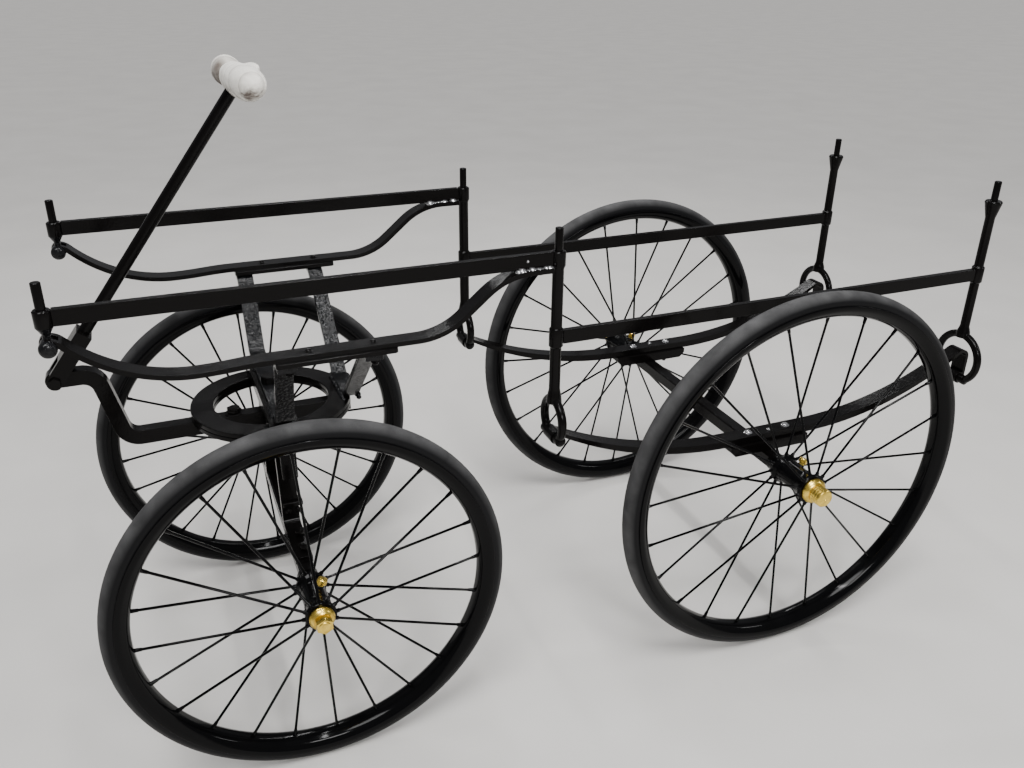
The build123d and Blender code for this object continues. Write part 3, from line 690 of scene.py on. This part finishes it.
class CARRIAGE_OT_hubs(bpy.types.Operator):
    """Make the hubs: a ridged barrel between two flanges, with the oiler's boss"""

    bl_idname = "carriage.hubs"
    bl_label = "Hubs"

    def execute(self, context):
        for end, _, barrel, flange, *_ in WHEEL_ENDS:
            b, f = barrel / 2, flange / 2
            outline = (
                (-62, 10.05), (-62, b * 0.8), (-60.5, b * 0.84), (-56, b * 0.84), (-55, b * 0.79),
                (-50, b * 0.79), (-49, b * 0.84), (-46.6, f - 3.5), (-46, f - 2), (-44.8, f - 0.6),
                (-43.5, f), (-38.8, f),
                (-38, f - 0.7), (-34, b + 1.4), (-31.5, b), (-26, b), (-25, b + 0.9), (-22.5, b + 0.9),
                (-21.5, b),
                (12, b), (13, b + 0.9), (16, b + 0.9), (17, b), (31.5, b), (34, b + 1.4),
                (38, f - 0.7), (38.8, f), (43.5, f), (44.8, f - 0.6), (46, f - 2), (46, 10.05),
            )
            for side, sign in SIDES:
                centre, _, out = wheel_place(end, side, sign)
                bm = bmesh.new()
                turned(bm, in_metres(outline), centre, out, 72, closed=True)
                seat = centre - out * OILER_IN * MM + OILER_LEAN * (b - 3) * MM
                boss = ((0, 0), (0, 8.4), (2.4, 7.6), (3.6, 6.9), (5.4, 6.8), (6, 6.3), (6, 0))
                turned(bm, in_metres(boss), seat, OILER_LEAN, 28)
                wheel_part("hub", bm, end, side)
        return {"FINISHED"}


class CARRIAGE_OT_brasses(bpy.types.Operator):
    """Make the brass hub caps and oilers"""

    bl_idname = "carriage.brasses"
    bl_label = "Brasses"

    def execute(self, context):
        for end, _, barrel, _, cap, nose, nose_l in WHEEL_ENDS:
            c, n = cap / 2, nose / 2 - (1.8 if end == "front" else 0)
            dome = (
                (46, 0), (46, c - 0.8), (46.8, c), (50.5, c), (51.3, c - 0.5), (51.9, c - 0.5),
                (52.6, c - 0.2), (54.6, c - 1.1), (56.6, c - 2.6), (58.2, c - 4.4), (59, c - 5.6), (59, 0),
            )
            tip = 62 + nose_l - 3
            for side, sign in SIDES:
                centre, _, out = wheel_place(end, side, sign)
                bm = bmesh.new()
                turned(bm, in_metres(dome), centre, out, 72)
                if end == "front":
                    hex_head(bm, centre + out * 58.6 * MM, out, 2 * n * MM, (tip - 58.6 - 1.6) * MM, 1.1)
                    end_face = (
                        (tip - 2, 0), (tip - 2, n - 4.2), (tip - 0.8, n - 4.6), (tip, n - 5.6), (tip, 0),
                    )
                else:
                    end_face = (
                        (58.6, 0), (58.6, n), (63, n), (63.6, n - 0.9), (64.8, n - 0.9), (65.4, n - 0.1),
                        (69, n - 0.2), (69.6, n - 1.1), (70.8, n - 1.1), (71.4, n - 0.4), (75, n - 0.5),
                        (75.6, n - 1.4), (76.8, n - 1.4), (77.4, n - 0.8), (81, n - 1), (82.4, n - 2.2),
                        (83, n - 4), (83, 3.2), (82.3, 2.4), (82.3, 0),
                    )
                turned(bm, in_metres(end_face), centre, out, 72)
                seat = centre - out * OILER_IN * MM + OILER_LEAN * (barrel / 2 - 3) * MM
                oiler = (
                    (6, 0), (6, 5.4), (10, 5.4), (10, 8), (10.6, 8.5), (12.6, 8.5), (13, 7.9), (13.8, 7.9),
                    (14.2, 8.5), (17.6, 8.5), (18.6, 7.9), (19, 7), (19, 0),
                )
                turned(bm, in_metres(oiler), seat, OILER_LEAN, 40)
                name = f"{end}_hub_brass_{side}"
                make_piece(f"{name}_turned", bm, BODY_OF[name], ["turned brass"], [name], sharp=30)
        return {"FINISHED"}


class CARRIAGE_OT_ironwork(bpy.types.Operator):
    """Ease the edges of the axles, rails, posts, springs and fifth wheel, and paint them"""

    bl_idname = "carriage.ironwork"
    bl_label = "Ironwork"

    def execute(self, context):
        edge = context.scene.carriage_ironwork.edge
        made_elsewhere = ("_tyre_", "_wheel_", "_hub_brass_", "grip_wrap")
        for name in frame["nodes"]:
            if any(part in name for part in made_elsewhere):
                continue
            hammered = name.endswith("_yoke")
            necked = name.startswith("front_post")
            finishes = ["hammered paint"] if hammered else ["frame paint"]
            if necked:
                finishes.append("hammered paint")
            bm = bmesh.new()
            bm.from_mesh(frame["nodes"][name].data)
            bmesh.ops.remove_doubles(bm, verts=bm.verts, dist=2e-6)
            bmesh.ops.dissolve_limit(bm, angle_limit=radians(0.6), verts=bm.verts, edges=bm.edges)
            piece = make_piece(f"{name}_iron", bm, BODY_OF[name], finishes, [name], sharp=30)
            if necked:
                # The neck between the rail and the spring's eye keeps its hammered paint
                neck_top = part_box("front_rail_left")[0].z - 2 * MM
                neck_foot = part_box("front_eye_bolts")[1].z + 2 * MM
                for face in piece.data.polygons:
                    if neck_foot < face.center.z < neck_top:
                        face.material_index = 1
            eased = piece.modifiers.new("eased edges", "BEVEL")
            eased.width = edge
            eased.segments = 2
            eased.limit_method = "ANGLE"
            eased.angle_limit = radians(32)
            eased.harden_normals = True
        return {"FINISHED"}


class CARRIAGE_OT_fittings(bpy.types.Operator):
    """Make the bolts, nuts and washers of the springs, saddles, feet and rails"""

    bl_idname = "carriage.fittings"
    bl_label = "Fittings"

    def execute(self, context):
        down = Vector((0, 0, -1))
        axle_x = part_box("front_axle")[0].x + 13 * MM
        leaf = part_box("front_spring_plate_left")[1].z + 8 * MM
        yoke_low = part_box("front_spring_plate_left")[0].z - 9 * MM
        rear_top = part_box("rear_saddle_left")[1].z + 15 * MM
        saddle_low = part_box("rear_saddle_left")[0].z
        foot_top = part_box("front_axle")[1].z + 12 * MM
        post_y = 236 * MM
        back_x = axle_x - 136 * MM
        middle_y = post_y + 4 * MM
        king_x = 609 * MM
        rows = (
            # piece, body, finish, shape, x, y, z, axis, across, height
            ("spring_bolts", "chassis", "frame paint", round_head, 0.504, post_y, leaf, UP, 11, 4.5),
            ("spring_bolts", "chassis", "frame paint", round_head, 0.402, post_y, leaf, UP, 11, 4.5),
            ("yoke_nuts", "chassis", "frame paint", nut_end, axle_x, post_y, yoke_low, down, 17, 8),
            ("yoke_nuts", "chassis", "frame paint", nut_end, back_x, post_y, yoke_low, down, 17, 8),
            ("saddle_bolts", "chassis", "bright steel", round_head, -0.351, post_y, rear_top, UP, 13, 5),
            ("saddle_bolts", "chassis", "bright steel", round_head, -0.399, middle_y, rear_top, UP, 7, 3),
            ("saddle_bolts", "chassis", "bright steel", round_head, -0.441, post_y, rear_top, UP, 13, 5),
            ("saddle_nuts", "chassis", "frame paint", nut_end, -0.345, post_y, saddle_low, down, 15, 7),
            ("saddle_nuts", "chassis", "frame paint", nut_end, -0.441, post_y, saddle_low, down, 15, 7),
            ("foot_bolts", "fore_carriage", "frame paint", hex_head, axle_x, 0.155, foot_top, UP, 16, 7),
            ("foot_bolts", "fore_carriage", "frame paint", hex_head, axle_x, 0.205, foot_top, UP, 16, 7),
        )
        pieces = {}
        for piece, body, finish, shape, x, y, z, axis, across, height in rows:
            bm = pieces.setdefault((piece, body, finish), bmesh.new())
            for side in (1, -1):
                shape(bm, Vector((x, side * y, z)), axis, across * MM, height * MM)
        nut = bmesh.new()
        goose_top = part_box("axle_bed")[1].z
        turned(nut, in_metres(((0, 0), (0, 16), (1.6, 16), (2.2, 15), (2.2, 0))),
               Vector((king_x, 0, goose_top)), UP, 32)
        hex_head(nut, Vector((king_x, 0, goose_top + 2.2 * MM)), UP, 26 * MM, 9 * MM, 1.2)
        pieces["king_lock", "fore_carriage", "frame paint"] = nut
        pins = bmesh.new()
        for node_name in ("mid_shackle_pins", "rear_shackle_pins"):
            low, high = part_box(node_name)
            x, z = (low.x + high.x) / 2, (low.z + high.z) / 2
            for side in (1, -1):
                round_head(pins, Vector((x, side * high.y, z)), Vector((0, side, 0)), 14 * MM, 5 * MM)
                inner = side * (2 * post_y - high.y)
                round_head(pins, Vector((x, inner, z)), Vector((0, -side, 0)), 14 * MM, 5 * MM)
        pieces["shackle_ends", "chassis", "frame paint"] = pins
        legs = bmesh.new()
        for side in (1, -1):
            rows = (
                # from the middle, to, foot, top, half width, edge
                (86, 114, 448, 503, 14, 3.0),
                (84, 108.5, 388, 397, 18, 1.5),
            )
            for near, far, foot, top, half, edge in rows:
                ys = sorted((side * near * MM, side * far * MM))
                low = Vector((axle_x - half * MM, ys[0], foot * MM))
                high = Vector((axle_x + half * MM, ys[1], top * MM))
                block(legs, low, high, edge)
            for x, z in ((-9, 377), (9, 377)):
                at = Vector((axle_x + x * MM, side * 103.6 * MM, z * MM))
                round_head(legs, at, Vector((0, side, 0)), 9 * MM, 4 * MM)
        pieces["leg_blocks", "fore_carriage", "frame paint"] = legs
        domes = bmesh.new()
        low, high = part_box("front_eye_bolts")
        x, z = (low.x + high.x) / 2, (low.z + high.z) / 2
        dome = (
            (0, 0), (0, 12.2), (1.6, 12.4), (4.2, 11.6), (6.6, 9.6), (8.2, 6.6), (9.0, 3.0), (9.1, 0),
        )
        leaf_out, leaf_in = high.y - 6 * MM, 2 * post_y - high.y + 6 * MM
        for side in (1, -1):
            for y, out in ((leaf_out, side), (leaf_in, -side)):
                at = Vector((x, side * y, z))
                turned(domes, in_metres(dome), at, Vector((0, out, 0)), 32)
        pieces["eye_domes", "chassis", "hammered paint"] = domes
        studs = bmesh.new()
        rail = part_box("front_rail_left")
        for side in (1, -1):
            at = Vector((0.139, side * rail[1].y, rail[0].z + 14 * MM))
            round_head(studs, at, Vector((0, side, 0)), 3.4 * MM, 1.8 * MM)
        pieces["rail_studs", "chassis", "bright steel"] = studs
        for (name, body, finish), bm in pieces.items():
            make_piece(name, bm, body, [finish])
        return {"FINISHED"}


class CARRIAGE_OT_welds(bpy.types.Operator):
    """Lay the weld beads under the front rails and round the yokes' feet"""

    bl_idname = "carriage.welds"
    bl_label = "Welds"

    def execute(self, context):
        bead = context.scene.carriage_ironwork.bead
        rail_low, rail_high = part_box("front_rail_left")
        ring_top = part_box("upper_ring")[1].z
        rear_yoke_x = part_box("rear_yoke")[0].x + 14 * MM
        bolster_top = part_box("bolster")[1].z
        yoke_low, yoke_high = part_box("front_yoke")
        rail_x, rail_z = (0.100, 0.156), rail_low.z - 3.5 * MM
        outer_y, inner_y = rail_high.y + 1.5 * MM, rail_low.y - 1.5 * MM
        back_x, front_x = rear_yoke_x - 14 * MM, rear_yoke_x + 14 * MM
        rear_foot, front_foot = (0.008, 0.052), (0.08, 0.125)
        rows = (
            # piece, finish, both ends' x, both ends' y, height, radius
            ("spring_welds", "bright steel", rail_x, (outer_y, outer_y), rail_z, bead),
            ("spring_welds", "bright steel", rail_x, (inner_y, inner_y), rail_z, bead),
            ("yoke_welds", "hammered paint", (back_x, back_x), rear_foot, ring_top, bead * 0.75),
            ("yoke_welds", "hammered paint", (front_x, front_x), rear_foot, ring_top, bead * 0.75),
            ("yoke_welds", "hammered paint", (yoke_low.x, yoke_low.x), front_foot, bolster_top, bead * 0.7),
            ("yoke_welds", "hammered paint", (yoke_high.x, yoke_high.x), front_foot, bolster_top, bead * 0.7),
        )
        pieces = {}
        for piece, finish, xs, ys, height, radius in rows:
            bm = pieces.setdefault((piece, finish), bmesh.new())
            for side in (1, -1):
                a, b = (Vector((x, side * y, height)) for x, y in zip(xs, ys))
                ripples = max(3, int((b - a).length / (radius * 0.7)))
                for i in range(ripples + 1):
                    size = radius * (0.84 + 0.2 * sin(i * 2.4 + side))
                    at = a.lerp(b, i / ripples) + UP * radius * 0.18 * sin(i * 1.7)
                    swell = Matrix.Diagonal((size, size, size * (0.8 + 0.12 * sin(i * 3.1)), 1))
                    place = Matrix.Translation(at) @ swell
                    bmesh.ops.create_uvsphere(bm, u_segments=14, v_segments=9, radius=1, matrix=place)
        for (name, finish), bm in pieces.items():
            make_piece(name, bm, "chassis", [finish], sharp=60)
        return {"FINISHED"}


class CARRIAGE_OT_grip_wrap(bpy.types.Operator):
    """Wind the white cloth round the grip"""

    bl_idname = "carriage.grip_wrap"
    bl_label = "Grip Wrap"

    def execute(self, context):
        sizes = context.scene.carriage_wrap
        low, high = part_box("grip_wrap")
        centre = (low + high) / 2
        half, lobe = (high.y - low.y) / 2 - sizes.start, (high.z - low.z) / 2 - sizes.start
        outline = (
            # share of the half length, share of the lobe's radius: from the far end to the near end
            (-1.08, 0.0), (-1.07, 0.34), (-1.03, 0.62), (-0.95, 0.80), (-0.84, 0.87), (-0.72, 0.85),
            (-0.62, 0.74), (-0.54, 0.56), (-0.47, 0.54), (-0.40, 0.72), (-0.30, 0.82), (-0.14, 0.87),
            (0.08, 0.90), (0.30, 0.94), (0.52, 0.95), (0.72, 0.90), (0.90, 0.74), (1.01, 0.48),
            (1.07, 0.24), (1.08, 0.0),
        )
        bm = bmesh.new()
        turned(bm, [(a * half, r * lobe) for a, r in outline], centre, Vector((0, 1, 0)), 40)
        # The pad sits askew on its bar, near end back, and its ends are wound a little high
        for vert in bm.verts:
            share = vert.co.y / half
            vert.co += Vector((-8 * share, 0, 4 * abs(share))) * MM
        knot = centre + Vector((-20, 22, 20)) * MM
        knot_size = Matrix.Diagonal((9 * MM, 20 * MM, 8 * MM, 1))
        swell = Matrix.Translation(knot) @ Matrix.Rotation(radians(24), 4, "Z") @ knot_size
        bmesh.ops.create_uvsphere(bm, u_segments=20, v_segments=12, radius=1, matrix=swell)
        piece = make_piece(
            "grip_wrap_cloth", bm, "pole", ["wrap cloth"], ["grip_wrap"], sharp=180,
        )
        remesh(piece, sizes.voxel)
        swell_cloth(piece, sizes.most)
        settle(piece, 1)
        wind(piece, centre, sizes.strip, sizes.step)
        return {"FINISHED"}


def take_shape(piece):
    """Gives a piece the mesh that its modifiers make, and drops them."""
    shaped = bpy.data.meshes.new_from_object(piece.evaluated_get(bpy.context.evaluated_depsgraph_get()))
    old = piece.data
    piece.modifiers.clear()
    piece.data = shaped
    shaped.name = old.name
    bpy.data.meshes.remove(old)
    shaped.name = piece.name


def remesh(piece, voxel):
    """One even skin over overlapping shapes."""
    skin = piece.modifiers.new("skin", "REMESH")
    skin.mode = "VOXEL"
    skin.voxel_size = voxel
    take_shape(piece)


def swell_cloth(piece, most):
    """Blows the pad up a little as cloth, and caps how far a point moves."""
    before = [v.co.copy() for v in piece.data.vertices]
    cloth = piece.modifiers.new("cloth", "CLOTH")
    cloth.settings.quality = 6
    cloth.settings.use_pressure = True
    cloth.settings.uniform_pressure_force = 4
    cloth.settings.tension_stiffness = 12
    cloth.settings.effector_weights.gravity = 0
    cloth.point_cache.frame_start = 1
    cloth.point_cache.frame_end = 20
    for number in range(1, 21):
        bpy.context.scene.frame_set(number)
    take_shape(piece)
    bpy.context.scene.frame_set(1)
    for vert, start in zip(piece.data.vertices, before):
        move = vert.co - start
        if move.length > most:
            vert.co = start + move * (most / move.length)


def settle(piece, levels):
    """Finer, rounder skin."""
    finer = piece.modifiers.new("finer", "SUBSURF")
    finer.levels = levels
    finer.render_levels = levels
    take_shape(piece)


def wind(piece, centre, strip, step):
    """Raises the edges of the wound strip, creases the cloth more round the waist, and marks painted shade
    mixed with soiling where the strips lap and round the waist.
    """
    settle(piece, 1)
    waist_y, waist_half = -59 * MM, 19 * MM
    # Band round the waist that is darkened with painted shade mixed with soiling
    shade_and_soil_y, shade_and_soil_half = -70 * MM, 34 * MM
    grip_r = 26 * MM
    slant = 15 * MM
    # Share of a strip's width at which its edge begins to drop
    lap = 0.86
    mesh = piece.data
    around = mesh.attributes.new("around", "FLOAT", "POINT")
    hollow = mesh.attributes.new("hollow", "FLOAT", "POINT")
    moves = []
    for i, vert in enumerate(mesh.vertices):
        place = vert.co - centre
        angle = atan2(place.x, place.z)
        skew = slant * sin(angle + 0.7) * (1 + 0.5 * sin(place.y * 43))
        turn = ((place.y + skew + 3 * MM * sin(2 * angle + place.y * 30)) / strip) % 1.0
        # A strip rises slowly and drops at its edge, over the one that it laps
        rise = turn ** 0.6 if turn < lap else (1 - turn) / (1 - lap)
        crease = sin(place.y * 210 + 3 * angle) * sin(angle * 5 + place.y * 90)
        waist = max(0.0, 1 - abs(place.y - waist_y) / waist_half)
        move = step * (rise - 0.6) + 0.5 * MM * crease * (0.4 + waist)
        moves.append(vert.co + vert.normal * move)
        around.data[i].value = angle * grip_r
        # Painted shade mixed with soiling: darker where a strip's edge drops over the one it laps, and round
        # the waist, most on its front and lower side
        nearby = max(0.0, 1 - abs(place.y - shade_and_soil_y) / shade_and_soil_half)
        shaded = 1.7 * nearby * (0.2 + 0.8 * max(0.0, sin(angle - 0.3)))
        hollow.data[i].value = min(1.0, 0.5 * max(0.0, 0.85 - rise * 2.2) + shaded)
    for vert, place in zip(mesh.vertices, moves):
        vert.co = place
    mesh.shade_smooth()


class CARRIAGE_OT_stage(bpy.types.Operator):
    """Make the floor, the soft lights and the camera"""

    bl_idname = "carriage.stage"
    bl_label = "Stage"

    def execute(self, context):
        stage = context.scene.carriage_stage
        scene = context.scene
        data = bpy.data.cameras.new("camera")
        data.sensor_width = 36
        data.lens = stage.lens
        camera = bpy.data.objects.new("camera", data)
        camera.location = stage.eye
        camera.rotation_euler = stage.turn
        scene.collection.objects.link(camera)
        scene.camera = camera
        world = bpy.data.worlds.new("room")
        scene.world = world
        world.use_nodes = True
        world.node_tree.nodes["Background"].inputs["Color"].default_value = (0.95, 0.96, 1, 1)
        world.node_tree.nodes["Background"].inputs["Strength"].default_value = 0.27
        bm = bmesh.new()
        bmesh.ops.create_grid(bm, x_segments=4, y_segments=4, size=40)
        mesh = bpy.data.meshes.new("floor")
        bm.to_mesh(mesh)
        bm.free()
        mesh.materials.append(floor_finish("floor", stage.floor))
        floor = bpy.data.objects.new("floor", mesh)
        scene.collection.objects.link(floor)
        rows = (
            # name, place, aim, width, height, watts
            ("window", (0.15, 3.3, 2.25), (0.3, 0.0, 0.65), 0.9, 0.6, 58.0),
            ("tube over the gear", (0.1, 0.55, 3.0), (0.1, 0.0, 0.5), 0.07, 3.0, 46.0),
            ("tube behind", (-0.6, -2.4, 2.6), (0.0, 0.0, 0.5), 3.0, 0.08, 30.0),
            ("side", (-2.8, 1.4, 1.9), (0.0, 0.0, 0.5), 0.2, 0.8, 11.0),
        )
        for name, place, aim, width, height, watts in rows:
            light = bpy.data.lights.new(name, "AREA")
            light.shape = "RECTANGLE"
            light.size = width
            light.size_y = height
            light.energy = watts
            lamp = bpy.data.objects.new(name, light)
            lamp.location = place
            lamp.rotation_euler = (Vector(aim) - Vector(place)).to_track_quat("-Z", "Y").to_euler()
            scene.collection.objects.link(lamp)
        sun = bpy.data.lights.new("soft sun", "SUN")
        sun.energy = 2.0
        sun.angle = radians(24)
        lamp = bpy.data.objects.new("soft sun", sun)
        lamp.rotation_euler = Vector((-0.28, -0.42, -1)).to_track_quat("-Z", "Y").to_euler()
        scene.collection.objects.link(lamp)
        return {"FINISHED"}


class CARRIAGE_PT_gear(bpy.types.Panel):
    """Everything that the carriage's looks are made of"""

    bl_idname = "CARRIAGE_PT_gear"
    bl_label = "Carriage Running Gear"
    bl_space_type = "VIEW_3D"
    bl_region_type = "UI"
    bl_category = "Carriage"

    def draw(self, context):
        scene = context.scene
        for label, settings, operators in PANEL_ROWS:
            box = self.layout.box()
            box.label(text=label)
            for key in getattr(scene, settings).bl_rna.properties.keys():
                if key not in ("rna_type", "name"):
                    box.prop(getattr(scene, settings), key)
            for operator in operators:
                box.operator(operator)


SETTINGS = (
    ("carriage_finishes", CARRIAGE_PG_finishes),
    ("carriage_wheels", CARRIAGE_PG_wheels),
    ("carriage_ironwork", CARRIAGE_PG_ironwork),
    ("carriage_wrap", CARRIAGE_PG_wrap),
    ("carriage_stage", CARRIAGE_PG_stage),
)
PANEL_ROWS = (
    # heading, settings, operators
    ("Finishes", "carriage_finishes", ("carriage.finishes",)),
    ("Wheels", "carriage_wheels", (
        "carriage.tyres", "carriage.rims", "carriage.spokes", "carriage.hubs", "carriage.brasses",
    )),
    ("Ironwork", "carriage_ironwork", ("carriage.ironwork", "carriage.fittings", "carriage.welds")),
    ("Grip wrap", "carriage_wrap", ("carriage.grip_wrap",)),
    ("Stage", "carriage_stage", ("carriage.stage",)),
)
CLASSES = (
    CARRIAGE_PG_finishes, CARRIAGE_PG_wheels, CARRIAGE_PG_ironwork, CARRIAGE_PG_wrap, CARRIAGE_PG_stage,
    CARRIAGE_OT_finishes, CARRIAGE_OT_tyres, CARRIAGE_OT_rims, CARRIAGE_OT_spokes, CARRIAGE_OT_hubs,
    CARRIAGE_OT_brasses, CARRIAGE_OT_ironwork, CARRIAGE_OT_fittings, CARRIAGE_OT_welds,
    CARRIAGE_OT_grip_wrap, CARRIAGE_OT_stage, CARRIAGE_PT_gear,
)


def register():
    for cls in CLASSES:
        bpy.utils.register_class(cls)
    for name, group in SETTINGS:
        setattr(bpy.types.Scene, name, PointerProperty(type=group))


def unregister():
    for name, group in SETTINGS:
        delattr(bpy.types.Scene, name)
    for cls in reversed(CLASSES):
        bpy.utils.unregister_class(cls)


def main():
    register()
    bpy.ops.carriage.stage()
    bpy.ops.carriage.finishes()
    bpy.ops.carriage.tyres()
    bpy.ops.carriage.rims()
    bpy.ops.carriage.spokes()
    bpy.ops.carriage.hubs()
    bpy.ops.carriage.brasses()
    bpy.ops.carriage.ironwork()
    bpy.ops.carriage.fittings()
    bpy.ops.carriage.welds()
    bpy.ops.carriage.grip_wrap()


if __name__ == "__main__":
    main()
